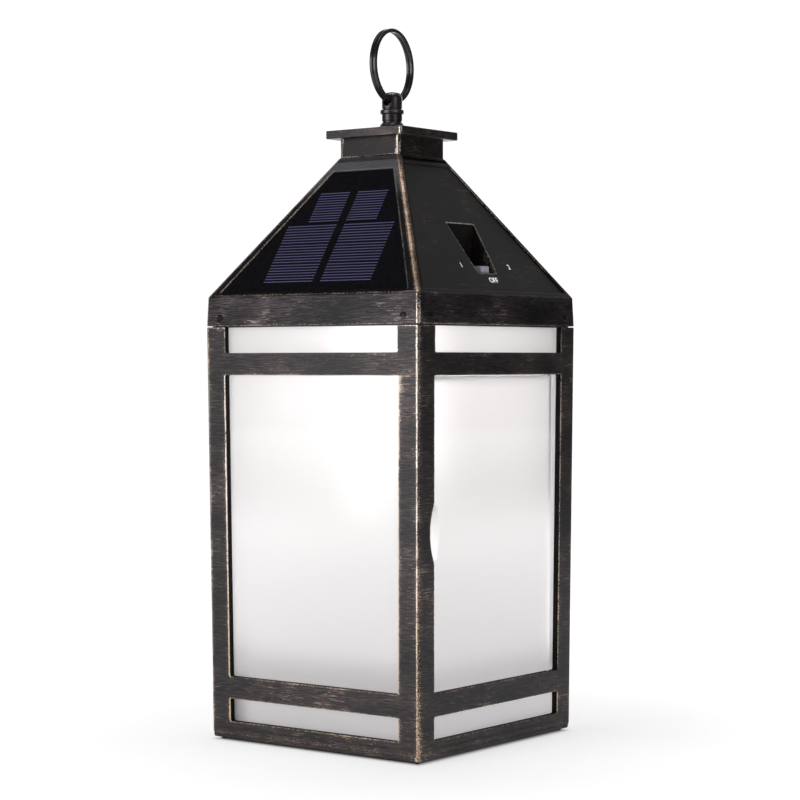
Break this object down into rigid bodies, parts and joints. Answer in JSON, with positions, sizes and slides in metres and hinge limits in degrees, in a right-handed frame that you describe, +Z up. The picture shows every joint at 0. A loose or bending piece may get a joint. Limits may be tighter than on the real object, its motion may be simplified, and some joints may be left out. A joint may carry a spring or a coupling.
{
  "type": "solar hanging lantern",
  "caption": "Square tapered lantern with frosted panes and a hinged door, a pyramid roof with a solar panel and slide switch, and a split ring to hang it by.",
  "frame": {"origin": "centre of the square footprint, on the plane of the four foot screws that the lantern stands on", "axes": "+Z up; -Y is the side under the solar panel; +X is the side with the slide switch and the door"},
  "size_m": [0.15, 0.15, 0.4019],
  "materials": {
    "frame_black": "black moulded plastic, brushed bronze along its edges",
    "roof_bronze": "black moulded plastic with a brushed copper-bronze wipe",
    "frosted": "frosted translucent pane, softly lit from inside",
    "screw_black": "black oxide, slightly shiny",
    "panel_black": "clear coat over a near-black board",
    "cell_blue": "dark indigo solar cells under a clear coat",
    "bronze_metal": "black paint rubbed through to bronze",
    "ring_black": "black paint on spring steel, satin",
    "steel": "zinc-plated",
    "knob_grey": "pale grey moulded plastic",
    "switch_case": "black moulded switch body",
    "white_plastic": "white moulded plastic",
    "diffuser_white": "frosted tube, lit from inside",
    "foam": "closed-cell foam",
    "circuit_board": "green solder mask",
    "led_white": "clear LED lens",
    "led_amber": "amber LED lens",
    "component_black": "moulded components",
    "battery_green": "plain sleeve, no print",
    "contact_nickel": "nickel-plated spring steel",
    "lead_red": "insulated hook-up wire"
  },
  "bodies": {
    "lantern": {"body_frame": "frame_black", "front_pane": "frosted", "left_pane": "frosted", "back_pane": "frosted", "door_side_pane": "frosted", "base_plate": "frame_black", "foot_screws": "screw_black", "roof_housing": "roof_bronze", "skirt_screws": "screw_black", "solar_panel": "panel_black", "solar_cells": "cell_blue", "cap_plate": "roof_bronze", "hanger_post": "bronze_metal", "hanger_nut": "steel", "hanger_washer": "steel", "slide_switch": "switch_case", "switch_screws": "steel", "light_tray": "white_plastic", "tray_screws": "steel", "roof_seal": "foam", "led_board": "circuit_board", "led_board_screws": "steel", "white_leds": "led_white", "amber_leds": "led_amber", "light_diffuser": "diffuser_white", "diffuser_screws": "steel", "control_board": "circuit_board", "board_parts": "component_black", "board_screws": "steel", "battery": "battery_green", "battery_contacts": "contact_nickel", "battery_cover": "white_plastic", "battery_cover_screw": "steel", "solar_leads": "lead_red", "battery_leads": "lead_red", "led_leads": "lead_red", "switch_leads": "lead_red"},
    "door": {"door": "frosted"},
    "switch_knob": {"switch_knob": "knob_grey"},
    "split_ring": {"split_ring": "ring_black"}
  },
  "joints": [
    {"name": "door_hinge", "type": "hinge", "parent": "lantern", "child": "door", "pos_m": [0.07167, 0.0524, 0.1209], "axis": [0.0093, 0, 1], "range_deg": [0, 120]},
    {"name": "switch_slide", "type": "slide", "parent": "lantern", "child": "switch_knob", "axis": [0, 1, 0], "range_m": [-0.0045, 0.0045]},
    {"name": "ring_swing", "type": "hinge", "parent": "lantern", "child": "split_ring", "pos_m": [0, 0, 0.3606], "axis": [-0.1045, 0.9945, 0], "range_deg": [-115, 115]}
  ]
}
